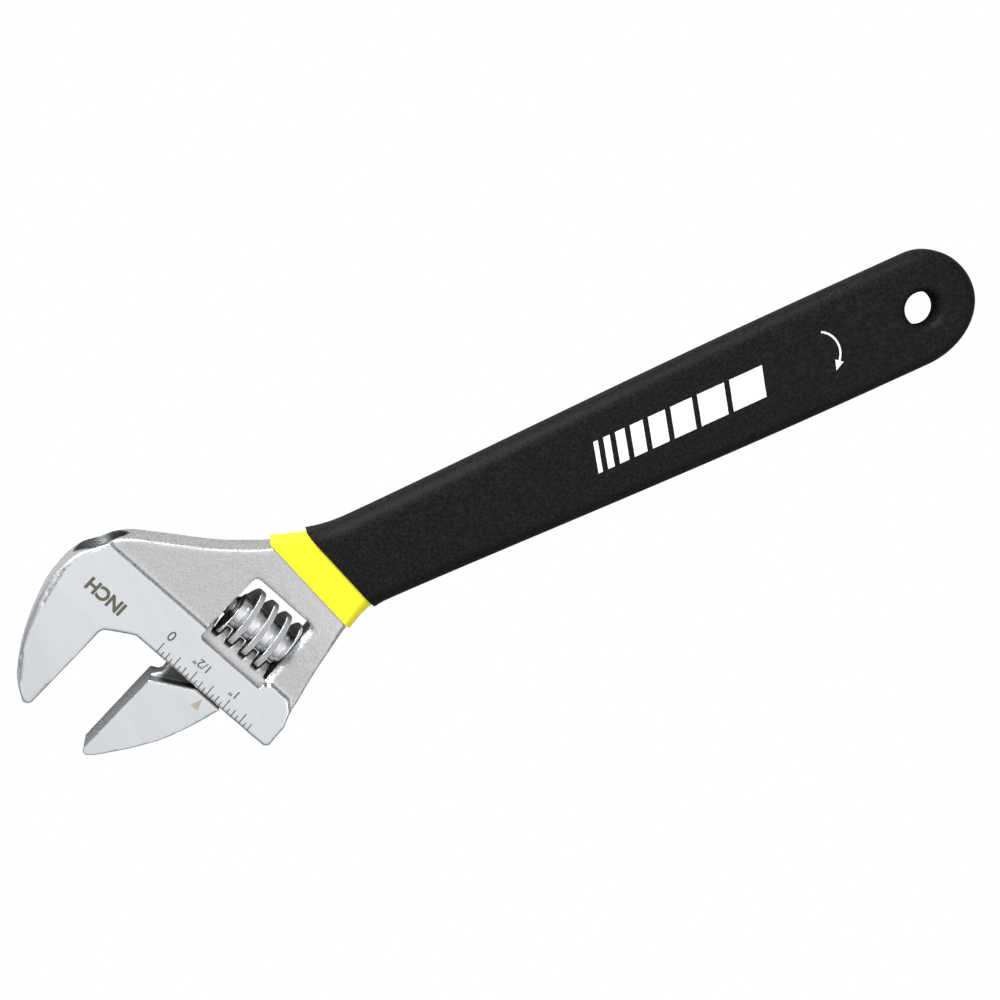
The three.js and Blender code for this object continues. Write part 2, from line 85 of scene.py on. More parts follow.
def head(u, v, w=0.0):
    """A point of the head frame, in millimetres, as a row-frame Vector."""
    return ZERO + (U_AXIS * u + V_AXIS * v + W_AXIS * w) * MM


def shank(x, y, w=0.0):
    return ZERO + Vector((x, y, w)) * MM


def to_head(co):
    """Row-frame points, an n by 3 array, as u, v and w in millimetres."""
    rel = (co - np.array(ZERO)) / MM
    return rel @ np.array(U_AXIS), rel @ np.array(V_AXIS), rel[:, 2]


def smoothstep(x, low, high):
    t = np.clip((x - low) / (high - low), 0, 1)
    return t * t * (3 - 2 * t)


# ---- mesh helpers ---------------------------------------------------------------------------------
def new_object(name, mesh):
    obj = bpy.data.objects.new(name, mesh)
    bpy.context.scene.collection.objects.link(obj)
    return obj


def mesh_object(name, points, faces):
    mesh = bpy.data.meshes.new(name)
    mesh.from_pydata([tuple(p) for p in points], [], faces)
    mesh.update()
    return new_object(name, mesh)


def shade_smooth(obj):
    obj.data.polygons.foreach_set("use_smooth", [True] * len(obj.data.polygons))
    obj.data.update()


def apply_modifiers(obj):
    graph = bpy.context.evaluated_depsgraph_get()
    done = bpy.data.meshes.new_from_object(obj.evaluated_get(graph))
    obj.modifiers.clear()
    obj.data = done


def join_solids(obj, other, how):
    cut = obj.modifiers.new("cut", "BOOLEAN")
    cut.operation, cut.object, cut.solver = how, other, "MANIFOLD"
    apply_modifiers(obj)
    bpy.data.objects.remove(other)


def tube_mesh(name, rings, closed):
    """Rings of equally many points, joined in order. closed joins the last ring to the first;
    otherwise each end gets one flat cap."""
    count = len(rings[0])
    total = len(rings)
    faces = []
    for r in range(total if closed else total - 1):
        a, b = r * count, ((r + 1) % total) * count
        faces += [(a + i, a + (i + 1) % count, b + (i + 1) % count, b + i) for i in range(count)]
    if not closed:
        faces.append(tuple(reversed(range(count))))
        faces.append(tuple(range((total - 1) * count, total * count)))
    obj = mesh_object(name, [p for ring in rings for p in ring], faces)
    fix_normals(obj)
    return obj


def fix_normals(obj):
    bm = bmesh.new()
    bm.from_mesh(obj.data)
    bmesh.ops.remove_doubles(bm, verts=bm.verts, dist=1e-7)
    bmesh.ops.recalc_face_normals(bm, faces=bm.faces)
    bm.to_mesh(obj.data)
    bm.free()


def coordinates(obj):
    co = np.empty(len(obj.data.vertices) * 3)
    obj.data.vertices.foreach_get("co", co)
    return co.reshape(-1, 3)


def set_coordinates(obj, co):
    obj.data.vertices.foreach_set("co", co.astype(np.float32).ravel())
    obj.data.update()


def normals(obj):
    out = np.empty(len(obj.data.vertices) * 3)
    obj.data.vertices.foreach_get("normal", out)
    return out.reshape(-1, 3)


def relax(obj, rounds, strength):
    """Moves each point toward the mean of its neighbours; strength is one number per point."""
    edges = np.empty(len(obj.data.edges) * 2, np.int64)
    obj.data.edges.foreach_get("vertices", edges)
    a, b = edges[0::2], edges[1::2]
    co = coordinates(obj)
    count = np.bincount(a, minlength=len(co)) + np.bincount(b, minlength=len(co))
    for _ in range(rounds):
        total = np.stack([
            np.bincount(a, co[b, k], len(co)) + np.bincount(b, co[a, k], len(co)) for k in range(3)
        ], 1)
        co += strength[:, None] * (total / count[:, None] - co)
    set_coordinates(obj, co)


def add_attribute(obj, name, values):
    layer = obj.data.attributes.new(name, "FLOAT", "POINT")
    layer.data.foreach_set("value", values.astype(np.float32))


def remeshed_copy(name, node, voxel_mm):
    """A fine, even-grained copy of a CAD node's solid."""
    source = frame["nodes"][node]
    obj = new_object(name, source.data.copy())
    fix_normals(obj)
    grain = obj.modifiers.new("grain", "REMESH")
    grain.mode, grain.voxel_size, grain.adaptivity = "VOXEL", voxel_mm * MM, 0
    apply_modifiers(obj)
    hug = obj.modifiers.new("hug", "SHRINKWRAP")
    hug.target, hug.wrap_method, hug.wrap_mode = source, "NEAREST_SURFACEPOINT", "ON_SURFACE"
    apply_modifiers(obj)
    return obj


# ---- material helpers -------------------------------------------------------------------------------
class Surface:
    """A node material with short ways to add what every finish here uses."""

    def __init__(self, name):
        self.material = bpy.data.materials.new(name)
        self.material.use_nodes = True
        self.tree = self.material.node_tree
        self.shader = self.tree.nodes["Principled BSDF"]
        self.place = self.add("ShaderNodeTexCoord").outputs["Object"]

    def add(self, kind, **settings):
        node = self.tree.nodes.new(kind)
        for key, value in settings.items():
            setattr(node, key, value)
        return node

    def link(self, source, target):
        self.tree.links.new(source, target)

    def set(self, **values):
        for key, value in values.items():
            self.shader.inputs[key.replace("_", " ")].default_value = value

    def mapped(self, scale, turn=0.0):
        node = self.add("ShaderNodeMapping")
        node.inputs["Scale"].default_value = scale
        node.inputs["Rotation"].default_value = (0, 0, turn)
        self.link(self.place, node.inputs["Vector"])
        return node.outputs["Vector"]

    def noise(self, scale, detail=3.0, vector=None, roughness=0.5):
        node = self.add("ShaderNodeTexNoise")
        node.inputs["Scale"].default_value = scale
        node.inputs["Detail"].default_value = detail
        node.inputs["Roughness"].default_value = roughness
        self.link(vector or self.place, node.inputs["Vector"])
        return node.outputs["Fac"]

    def ramp(self, value, stops):
        node = self.add("ShaderNodeValToRGB")
        ramp = node.color_ramp
        for k, (at, colour) in enumerate(stops):
            element = ramp.elements[k] if k < 2 else ramp.elements.new(at)
            element.position, element.color = at, (*colour, 1)
        self.link(value, node.inputs["Fac"])
        return node.outputs["Color"]

    def spread(self, value, low, high, from_low=0.0, from_high=1.0):
        node = self.add("ShaderNodeMapRange")
        for key, number in zip(("From Min", "From Max", "To Min", "To Max"),
                               (from_low, from_high, low, high)):
            node.inputs[key].default_value = number
        self.link(value, node.inputs["Value"])
        return node.outputs["Result"]

    def mix(self, share, first, second, data_type="FLOAT"):
        node = self.add("ShaderNodeMix", data_type=data_type)
        a, b, result = {"FLOAT": (2, 3, 0), "RGBA": (6, 7, 2)}[data_type]
        self.link(share, node.inputs["Factor"])
        for socket, value in ((node.inputs[a], first), (node.inputs[b], second)):
            if isinstance(value, bpy.types.NodeSocket):
                self.link(value, socket)
            else:
                socket.default_value = value
        return node.outputs[result]

    def bump(self, height, depth_mm, below=None):
        node = self.add("ShaderNodeBump")
        node.inputs["Distance"].default_value = depth_mm * MM
        self.link(height, node.inputs["Height"])
        if below is not None:
            self.link(below, node.inputs["Normal"])
        return node.outputs["Normal"]

    def attribute(self, name):
        return self.add("ShaderNodeAttribute", attribute_name=name).outputs["Fac"]

    def feed(self, socket, value):
        self.link(value, self.shader.inputs[socket])


HEAD_TURN = math.atan2(U_AXIS.y, U_AXIS.x)


def chromed_forging():
    """Satin chrome over shot-blasted steel, ground to a polish where the attribute "ground" is 1,
    glinting along the rims, where the lower roughness is real and the lighter colour a painted
    highlight, and painted near black as painted shade in the rail's bore, the window's lower wall
    and beside the movable jaw's stem."""
    s = Surface("chromed_forging")
    s.set(Metallic=1.0)
    ground, rim, painted_shade = s.attribute("ground"), s.attribute("rim"), s.attribute("painted_shade")
    grain = s.noise(3000, 3, roughness=0.7)
    pits = s.noise(1700, 2)
    strokes = s.noise(70, 6, s.mapped((1.0, 0.04, 0.3), -HEAD_TURN), 0.65)
    fine = s.noise(700, 4, s.mapped((1.0, 0.03, 0.3), -HEAD_TURN), 0.7)
    blasted = s.ramp(s.mix(s.noise(60, 3), grain, pits), [
        (0.3, (0.46, 0.465, 0.47)), (0.7, (0.66, 0.665, 0.67)),
    ])
    # Painted highlight: the rims of the blasted web get a lighter colour; their lower roughness is real.
    rim_glint = s.ramp(pits, [(0.35, (0.45, 0.46, 0.46)), (0.6, (0.86, 0.87, 0.88))])
    forged = s.mix(rim, blasted, rim_glint, "RGBA")
    polished = s.ramp(strokes, [(0.3, (0.72, 0.745, 0.77)), (0.7, (0.80, 0.82, 0.84))])
    lit = s.mix(ground, forged, polished, "RGBA")
    # Painted shade: where the painted shade attribute is high, the colour is mixed toward near black.
    s.feed("Base Color", s.mix(painted_shade, lit, (0.08, 0.084, 0.085, 1), "RGBA"))
    forged_rough = s.mix(rim, s.spread(grain, 0.42, 0.6), s.spread(grain, 0.2, 0.42))
    s.feed("Roughness", s.mix(ground, forged_rough, s.spread(fine, 0.22, 0.36)))
    rough = s.bump(s.mix(ground, grain, fine), 0.04)
    deep = s.bump(s.mix(ground, pits, s.spread(strokes, 0.47, 0.53)), 0.1, rough)
    s.feed("Normal", deep)
    return s.material


def bright_chrome():
    s = Surface("bright_chrome")
    s.set(Metallic=1.0)
    turned = s.noise(300, 4, s.mapped((0.05, 1.0, 1.0), -HEAD_TURN), 0.6)
    stain = s.noise(70, 3)
    plain = s.ramp(stain, [(0.3, (0.78, 0.79, 0.80)), (0.7, (0.90, 0.91, 0.92))])
    # Painted shade: the knurl's notches on the worm's crest are darkened in colour.
    s.feed("Base Color", s.mix(s.attribute("notch"), plain, (0.16, 0.165, 0.16, 1), "RGBA"))
    s.feed("Roughness", s.spread(turned, 0.08, 0.2))
    s.feed("Normal", s.bump(turned, 0.02))
    return s.material


def plain_steel(name, dark, light):
    s = Surface(name)
    s.set(Metallic=1.0)
    drawn = s.noise(700, 4, roughness=0.6)
    s.feed("Base Color", s.ramp(drawn, [(0.3, dark), (0.7, light)]))
    s.feed("Roughness", s.spread(drawn, 0.25, 0.45))
    s.feed("Normal", s.bump(drawn, 0.02))
    return s.material


def black_vinyl():
    s = Surface("black_vinyl")
    s.set(Specular_IOR_Level=0.13)
    grain = s.noise(1150, 3, roughness=0.6)
    s.feed("Base Color", s.ramp(grain, [
        (0.38, (0.0018, 0.0024, 0.0018)), (0.66, (0.0105, 0.0128, 0.0100)),
    ]))
    s.feed("Roughness", s.spread(grain, 0.5, 0.72))
    ripple = s.bump(s.noise(160, 2), 0.05)
    s.feed("Normal", s.bump(grain, 0.13, ripple))
    return s.material


def yellow_vinyl():
    s = Surface("yellow_vinyl")
    s.set(Specular_IOR_Level=0.45)
    cloud = s.noise(120, 3)
    s.feed("Base Color", s.ramp(cloud, [(0.3, (0.93, 0.83, 0.004)), (0.7, (0.98, 0.90, 0.012))]))
    s.feed("Roughness", s.spread(s.noise(900, 2), 0.38, 0.5))
    s.feed("Normal", s.bump(s.noise(240, 3), 0.05))
    return s.material


def ink(name, dark, light, roughness, metallic=0.0):
    """A thin mark: etched or printed, slightly broken up."""
    s = Surface(name)
    s.set(Metallic=metallic)
    speck = s.noise(2600, 3)
    s.feed("Base Color", s.ramp(speck, [(0.35, dark), (0.65, light)]))
    s.feed("Roughness", s.spread(speck, roughness, roughness + 0.15))
    return s.material


def finish(obj, material, body, slot, *nodes):
    obj.data.materials.clear()
    obj.data.materials.append(material)
    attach(obj, body)
    if nodes:
        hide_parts(*nodes)


# ---- the forging and the movable jaw ------------------------------------------------------------------
def ground_share(obj, top_v):
    """1 on the ground faces: the plates, the jaws' sides and their gripping faces."""
    u, v, w = to_head(coordinates(obj))
    n = normals(obj)
    facing = smoothstep(np.abs(n[:, 2]), 0.93, 0.985)
    raised = smoothstep(np.abs(w), WEB_HALF_MM + 0.5, WEB_HALF_MM + 0.9)
    side = facing * np.where(v < top_v - 12, 1, raised) * (v < top_v + 1)
    along_u = np.abs(n @ np.array(U_AXIS))
    grip = smoothstep(along_u, 0.97, 0.995) * (v < -7) * (u > -18) * (u < 4.5)
    return np.clip(side + grip, 0, 1)


def soft_noise(co, size_mm, seed):
    """Smooth, repeatable noise in -1..1: a few sines in fixed directions."""
    random = np.random.default_rng(seed)
    total = np.zeros(len(co))
    for _ in range(10):
        direction = random.normal(size=3)
        direction /= np.linalg.norm(direction)
        wave = TAU / (size_mm * MM * random.uniform(0.7, 1.6))
        total += np.sin(co @ direction * wave + random.uniform(0, TAU))
    return total / 5


# Back edge of the fixed jaw from its tip up: u, v, and how far the ground plate stays inside it.
BACK_MM = np.array([
    (-20.6, -34.8, 0.3), (-24, -32, 0.8), (-27.8, -26.9, 1.1), (-31.3, -20.8, 1.6),
    (-34.1, -13.9, 2.0), (-36.2, -6.6, 2.1), (-36.8, 1, 1.7), (-36, 7, 1.3), (-33.9, 11.2, 1.1),
    (-31.4, 15.8, 1.0),
])
JAW_ROOT_MM, JAW_TIP_MM, TIP_HALF_MM = -4.0, -36.2, 6.7


def back_edge(u, v):
    """How far inside the back edge of the fixed jaw each point is, and the width rolled over."""
    edge = np.polyfit(BACK_MM[:, 1], BACK_MM[:, 0], 6)
    band = np.clip(np.polyval(np.polyfit(BACK_MM[:, 1], BACK_MM[:, 2], 4), v), 0.3, 2.2)
    away = (u - np.polyval(edge, v)) / np.hypot(1, np.polyval(np.polyder(edge), v))
    return away, band


def round_back(obj):
    """Rolls the fixed jaw's back over from the ground plate to the side wall."""
    co = coordinates(obj)
    u, v, w = to_head(co)
    away, band = back_edge(u, v)
    thin = np.clip((JAW_ROOT_MM - v) / (JAW_ROOT_MM - JAW_TIP_MM), 0, 1)
    plate = PLATE_HALF_MM + (TIP_HALF_MM - PLATE_HALF_MM) * thin
    drop = 0.85 * band
    q = np.clip(1 - away / band, 0, 1)
    limit = plate - drop * (1 - np.sqrt(1 - q * q))
    region = (v < PLATE_TOP_MM + 0.3) & (v > JAW_TIP_MM + 0.3) & (away < band) & (u < -19)
    region &= np.abs(w) > 0.93 * (plate - drop)
    co[region, 2] = ZERO.z + np.sign(w[region]) * limit[region] * MM
    set_coordinates(obj, co)
    return np.where((v < PLATE_TOP_MM + 2) & (u < -19), smoothstep(away, band * 0.8, band), 1)


WINDOW_RIGHT_MM, WINDOW_LOW_MM, WINDOW_HIGH_MM = 28.2, 11.9, 35.6


def chamfer_window(obj):
    """Slopes the web down into the window along its right-hand wall."""
    co = coordinates(obj)
    u, v, w = to_head(co)
    rise = (WINDOW_HIGH_MM - v) / (WINDOW_HIGH_MM - WINDOW_LOW_MM)
    away = u - WINDOW_RIGHT_MM - rise
    width = 1.7
    region = (away > -0.3) & (away < width) & (v > WINDOW_LOW_MM + 2) & (v < WINDOW_HIGH_MM - 0.6)
    region &= np.abs(w) > WEB_HALF_MM - 1.5
    limit = WEB_HALF_MM - 1.5 * (1 - np.clip(away / width, 0, 1)) ** 1.2
    co[region, 2] = ZERO.z + np.sign(w[region]) * np.minimum(np.abs(w), limit)[region] * MM
    set_coordinates(obj, co)


def rail_mouth():
    """The left-hand end of the rail's bore, to be cut through the rolled-over back."""
    radius, sides = RAIL_MOUTH_R_MM, 96
    rings = [
        [head(u, RAIL_V_MM + radius * math.cos(a), radius * math.sin(a))
         for a in (k / sides * TAU for k in range(sides))]
        for u in (-60, -28)
    ]
    return tube_mesh("rail_mouth", rings, closed=False)


def forging():
    """Fixed jaw, head and shank. ground is 1 on ground faces, the painted shade attribute darkens the
    rail's bore and the window's lower wall as painted shade, and rim is high on the edges of the
    blasted web, where the colour is lightened as a painted highlight."""
    obj = remeshed_copy("forging", "forged_body", 0.42)
    flat = round_back(obj)
    chamfer_window(obj)
    u, v, w = to_head(coordinates(obj))
    kept_flat = (v < PLATE_TOP_MM + 0.6) & (np.abs(w) > WEB_HALF_MM + 0.3) & (flat > 0.5)
    relax(obj, 5, np.where(kept_flat, 0.0, 0.5))
    relax(obj, 2, np.where(kept_flat, 0.3, 0.5))
    join_solids(obj, rail_mouth(), "DIFFERENCE")
    co = coordinates(obj)
    n = normals(obj)
    u, v, w = to_head(co)
    away, band = back_edge(u, v)
    rolled = (v < PLATE_TOP_MM + 2) & (u < -19) & (away < band * 0.9)
    share = np.where(rolled, 0.6, ground_share(obj, PLATE_TOP_MM))
    lumps = 0.03 * soft_noise(co, 7, 3) + 0.015 * soft_noise(co, 2.6, 4)
    set_coordinates(obj, co + n * (lumps * (1 - share) * MM)[:, None])
    # Painted shade: the rail's bore gets the full near-black colour, the window's lower wall about a
    # third of it.
    bored = (np.hypot(v - RAIL_V_MM, w) < RAIL_MOUTH_R_MM + 0.6) & (u < -15)
    wall = (np.abs(n @ np.array(V_AXIS)) > 0.7) & (v > 9) & (v < PLATE_TOP_MM) & (u > 5) & (u < 31)
    add_attribute(obj, "painted_shade", np.where(bored, 1, np.where(wall, 0.35, 0)))
    face = (np.abs(u - FIXED_FACE_MM) < 0.4) & (v < -5)
    share = np.where(bored, 0, np.where(face, 1, share))
    add_attribute(obj, "ground", share)
    # rim marks the web's edges for a painted highlight (lighter colour) and a real, lower roughness.
    add_attribute(obj, "rim", np.where(rolled, 0, 1 - smoothstep(np.abs(n[:, 2]), 0.7, 0.97)))
    shade_smooth(obj)
    return obj


def moving_jaw():
    """The movable jaw, ground on its sides and gripping face, with painted shade beside its stem."""
    obj = remeshed_copy("moving_jaw", "movable_jaw", 0.3)
    u, v, w = to_head(coordinates(obj))
    relax(obj, 3, np.full(len(u), 0.35))
    u, v, w = to_head(coordinates(obj))
    inside = (v > -11) & (np.abs(w) < PLATE_HALF_MM - 1.2) & (v < 0.5)
    face = (np.abs(u - MOVING_FACE_MM) < 0.4) & (v < -6)
    add_attribute(obj, "ground", np.where(face, 1, ground_share(obj, 0.5)))
    add_attribute(obj, "rim", np.zeros(len(u)))
    # Painted shade: the hollow beside the stem is darkened in colour.
    add_attribute(obj, "painted_shade", inside * smoothstep(u, 5.2, 7.5))
    shade_smooth(obj)
    return obj


# ---- the worm --------------------------------------------------------------------------------------
def worm():
    """The knurled worm as one grid over length and angle, closed through its bore."""
    around, along, notches = 672, 160, 112
    bore, pocket, pocket_end = 2.5, 3.8, WORM_START_MM + 4.2
    theta = np.arange(around) / around * TAU
    stations = np.linspace(WORM_START_MM, WORM_END_MM, along)

    def radius(u):
        turns = (u - FRONT_CREST_MM) / PITCH_MM - (theta - math.pi / 2) / TAU
        off = np.abs((turns + 0.5) % 1 - 0.5) * PITCH_MM
        t = np.clip((off - CREST_MM / 2) / ((ROOT_MM - CREST_MM) / 2), 0, 1)
        fall = 0.75 * t + 0.25 * t * t * (3 - 2 * t)
        notch = np.abs((theta * notches / TAU) % 1 - 0.5) * 2
        knurl = 0.22 * smoothstep(notch, 0.5, 0.95) * (t < 0.12)
        edge = min(u - WORM_START_MM, WORM_END_MM - u)
        return WORM_R_MM - knurl - (WORM_R_MM - WORM_ROOT_MM) * fall - 0.25 * max(0, 0.25 - edge)

    def ring(u, r):
        r = np.broadcast_to(r, theta.shape)
        return [
            head(u, WORM_MID_MM[1] + q * math.cos(a), q * math.sin(a)) for q, a in zip(r, theta)
        ]

    rings = [ring(u, radius(u)) for u in stations]
    rings += [ring(WORM_END_MM, bore), ring(pocket_end, bore)]
    rings += [ring(pocket_end, pocket), ring(WORM_START_MM, pocket)]
    obj = tube_mesh("worm", rings, closed=True)
    u, v, w = to_head(coordinates(obj))
    angle = np.arctan2(w, v - WORM_MID_MM[1])
    notch = smoothstep(np.abs((angle * notches / TAU) % 1 - 0.5) * 2, 0.5, 0.9)
    crest = np.hypot(w, v - WORM_MID_MM[1]) > WORM_R_MM - 0.4
    # notch marks the knurl's notches on the crest for painted shade in bright_chrome.
    add_attribute(obj, "notch", notch * crest * 0.8)
    shade_smooth(obj)
    return obj


# ---- the vinyl coats -------------------------------------------------------------------------------
def taper(x):
    return min(max((x - NECK_MM) / (BUTT_MM - 20 - NECK_MM), 0), 1)


def grip_reach(x, side):
    share = math.sin(taper(x) * math.pi / 2) ** 1.3
    width = NECK_W_MM + (BUTT_W_MM - NECK_W_MM) * share
    slope, softness = UPPER_FLARE if side > 0 else LOWER_FLARE
    before = max(NECK_MM - x, 0)
    return width / 2 + side * share * BUTT_RISE_MM + slope * (math.hypot(before, softness) - softness)


def half_thickness(x):
    share = float(smoothstep(x, NECK_ROOT_MM, NECK_MM - 4))
    shank_half = SHANK_HALF_MM + (BUTT_HALF_MM - SHANK_HALF_MM) * taper(x)
    return (WEB_HALF_MM - 0.05) * (1 - share) + shank_half * share


def shank_ring(x, grown):
    steps = 14
    share = float(smoothstep(x, NECK_ROOT_MM, NECK_MM - 4))
    half = half_thickness(x) + grown
    rim = WEB_RIM_MM * (1 - share) + half * SHANK_RIM * share

    def quarter(side):
        start = BUTT_MM + (UPPER_ARC_MM if side > 0 else LOWER_ARC_MM)
        length = BUTT_MM + BUTT_END_MM - LAYERS_MM + grown - start
        past = max(x - start, 0)
        reach = grip_reach(x, side) - LAYERS_MM + grown
        deepest = min(rim, length - past)
        for k in range(steps + 1):
            inset = deepest * (1 - math.cos(k / steps * math.pi / 2))
            along = past / max(length - inset, past, 1e-6)
            y = side * (reach - inset) * math.sqrt(1 - along * along)
            yield y, half - rim + math.sqrt(max(rim**2 - (rim - inset) ** 2, 0))

    front = list(quarter(1)) + list(quarter(-1))[::-1]
    back = [(y, -w) for y, w in front][::-1]
    return [shank(x, SHANK_Y_MM + y, w) for y, w in front + back]


def shank_solid(name, start, grown):
    arc = BUTT_MM + LOWER_ARC_MM
    stations = list(np.arange(start, arc, 1.5))
    length = BUTT_END_MM - LOWER_ARC_MM - LAYERS_MM + grown
    stations += [arc + (length - 0.02) * math.sin(k / 36 * math.pi / 2) for k in range(37)]
    return tube_mesh(name, [shank_ring(x, grown) for x in stations], closed=False)


def lathe(name, profile, centre, sides=64):
    """A solid turned about the vertical through centre; profile is (radius, height) in mm."""
    rings = [
        [centre + Vector((r * math.cos(a), r * math.sin(a), h)) * MM
         for a in (k / sides * TAU for k in range(sides))]
        for r, h in profile
    ]
    return tube_mesh(name, rings, closed=False)


def hole_cutter(radius, half, lip):
    arc = [k / 8 * math.pi / 2 for k in range(9)]
    side = [(radius + lip * (1 - math.cos(a)), half - lip + lip * math.sin(a)) for a in arc]
    top = [*side, (radius + lip, half + 2)]
    profile = [(r, -h) for r, h in reversed(top)] + top
    return lathe("hole_cutter", profile, shank(BUTT_MM, HOLE_Y_MM))


def dip_cutter(start):
    """All of the wrench on the butt side of a dip line."""
    length, width, height = 0.4, 0.2, 0.1
    bpy.ops.mesh.primitive_cube_add(size=1)
    obj = bpy.context.object
    obj.data.transform(Matrix.Diagonal((length, width, height, 1)))
    obj.data.transform(Matrix.Translation((length / 2, 0, 0)))
    obj.data.transform(Matrix.Rotation(DIP_LEAN, 4, "Z"))
    obj.data.transform(Matrix.Translation(shank(start, SHANK_Y_MM)))
    return obj


def vinyl_coat(name, start, inner):
    outer = inner + COAT_MM
    half = BUTT_HALF_MM + outer
    wall = HOLE_R_MM + LAYERS_MM - outer + COAT_MM
    coat = shank_solid(name, start - 14, outer)
    join_solids(coat, shank_solid("inside", start - 18, inner), "DIFFERENCE")
    lining = lathe("lining", [(wall, -half + COAT_MM / 2), (wall, half - COAT_MM / 2)],
                   shank(BUTT_MM, HOLE_Y_MM))
    join_solids(coat, lining, "UNION")
    join_solids(coat, dip_cutter(start), "INTERSECT")
    join_solids(coat, hole_cutter(wall - COAT_MM, half, COAT_LIP_MM), "DIFFERENCE")
    edge = coat.modifiers.new("edge", "BEVEL")
    edge.width, edge.segments, edge.limit_method = 0.32 * MM, 3, "ANGLE"
    edge.angle_limit = math.radians(50)
    apply_modifiers(coat)
    shade_smooth(coat)
    return coat


# ---- marks -----------------------------------------------------------------------------------------
MARK_MM = 0.02  # how far a mark stands proud of its surface


def prisms(outlines, place):
    """Closed flat prisms in one mesh. place(a, b, lift) is where a point of an outline goes, lifted
    by lift mm from its surface."""
    points, faces = [], []
    for outline in outlines:
        start, count = len(points), len(outline)
        for lift in (-MARK_MM, MARK_MM):
            points += [place(a, b, lift) for a, b in outline]
        faces.append(tuple(range(start, start + count))[::-1])
        faces.append(tuple(range(start + count, start + 2 * count)))
        for i in range(count):
            j = (i + 1) % count
            faces.append((start + i, start + j, start + count + j, start + count + i))
    return points, faces


def on_plate(outlines):
    """Flat marks on the front of the plate and the jaws: points are (u, v)."""
    return prisms(outlines, lambda u, v, lift: head(u, v, PLATE_HALF_MM + lift))


def on_grip(outlines):
    """Flat marks on the grip's front: points are (x, y) from the shank's centreline."""
    def place(x, y, lift):
        return shank(x, SHANK_Y_MM + y, half_thickness(x) + LAYERS_MM + lift)

    return prisms(outlines, place)


def scale_ticks():
    inch, width = 25.4, 0.34
    bars = []
    for k in range(23):
        u = k * inch / 16
        length = 3.9 if k % 4 == 0 else 2.7 if k % 2 == 0 else 1.9
        lean = -0.05 * length
        bars.append([(u - width / 2, 0.3), (u + width / 2, 0.3), (u + width / 2 + lean, length),
                     (u - width / 2 + lean, length)])
    return mesh_object("scale_ticks", *on_plate(bars))


def figure(name, text, u, v, size, weight, upside_down):
    """A plain figure of the scale, set flat on the plate."""
    curve = bpy.data.curves.new(name, "FONT")
    curve.body, curve.size = text, size * MM
    curve.align_x, curve.align_y = "CENTER", "CENTER"
    curve.extrude, curve.offset = MARK_MM * MM, weight * MM
    curve.resolution_u = 4
    obj = new_object(name, curve)
    graph = bpy.context.evaluated_depsgraph_get()
    mesh = bpy.data.meshes.new_from_object(obj.evaluated_get(graph))
    bpy.data.objects.remove(obj)
    turn = HEAD_TURN + (math.pi if upside_down else 0)
    mesh.transform(Matrix.Rotation(turn, 4, "Z"))
    mesh.transform(Matrix.Translation(head(u, v, PLATE_HALF_MM)))
    return new_object(name, mesh)


def join_objects(name, objs):
    with bpy.context.temp_override(active_object=objs[0], selected_editable_objects=objs):
        bpy.ops.object.join()
    objs[0].name = name
    return objs[0]


def pointer():
    """The triangle on the movable jaw that reads against the scale."""
    return mesh_object("pointer", *on_plate([[(19.1, -1.0), (17.7, -4.7), (20.4, -4.7)]]))


def turn_arrow():
    """A curved arrow that shows the way to turn."""
    centre, radius, width = (209.8, 0.4), 6.4, 0.6
    first, last, steps = math.radians(60), math.radians(-39), 18
    arc = []
    for k in range(steps):
        a, b = (first + (last - first) * j / steps for j in (k, k + 1))
        arc.append([
            (centre[0] + r * math.cos(t), centre[1] + r * math.sin(t))
            for r, t in ((radius, a), (radius + width, a), (radius + width, b), (radius, b))
        ])
    end = (centre[0] + (radius + width / 2) * math.cos(last),
           centre[1] + (radius + width / 2) * math.sin(last))
    ahead = (math.sin(last), -math.cos(last))
    aside = (math.cos(last), math.sin(last))
    tip = [(end[0] + 3.0 * ahead[0], end[1] + 3.0 * ahead[1])]
    wings = [(end[0] + s * 1.3 * aside[0], end[1] + s * 1.3 * aside[1]) for s in (1, -1)]
    return mesh_object("turn_arrow", *on_grip([*arc, tip + wings]))


def stripe_mark():
    """A plain row of slanted bars that narrow toward the head."""
    low, high, lean, gap = -4.6, 4.6, 2.2, 1.7
    bars, x = [], 193.4
    for width in (10.5, 8.6, 6.9, 5.4, 4.1, 3.0, 2.1, 1.4):
        bars.append([(x - width - lean, low), (x - lean, low), (x, high), (x - width, high)])
        x -= width + gap
    return mesh_object("stripe_mark", *on_grip(bars))


# ---- build -----------------------------------------------------------------------------------------
steel = chromed_forging()
etched = ink("etched", (0.06, 0.052, 0.035), (0.13, 0.115, 0.085), 0.55)
printed = ink("printed", (0.80, 0.80, 0.79), (0.90, 0.90, 0.89), 0.5)
pointed = ink("pointed", (0.33, 0.30, 0.22), (0.42, 0.38, 0.29), 0.5)

finish(forging(), steel, "frame", "forging_chrome", "forged_body")
finish(moving_jaw(), steel, "jaw", "forging_chrome", "movable_jaw")
finish(worm(), bright_chrome(), "worm", "worm_chrome", "worm_knurl")
finish(vinyl_coat("yellow_coat", YELLOW_MM, COAT_GAP_MM), yellow_vinyl(), "frame", "yellow_vinyl",
       "yellow_undercoat")
finish(vinyl_coat("grip", BLACK_MM, 2 * COAT_GAP_MM + COAT_MM), black_vinyl(), "frame",
       "black_vinyl", "black_grip")
for node, surface in (("worm_pin", plain_steel("pin_steel", (0.45, 0.45, 0.46), (0.66, 0.66, 0.68))),
                      ("worm_spring", plain_steel("wire", (0.3, 0.3, 0.31), (0.5, 0.5, 0.52)))):
    frame["nodes"][node].data.materials.clear()
    frame["nodes"][node].data.materials.append(surface)

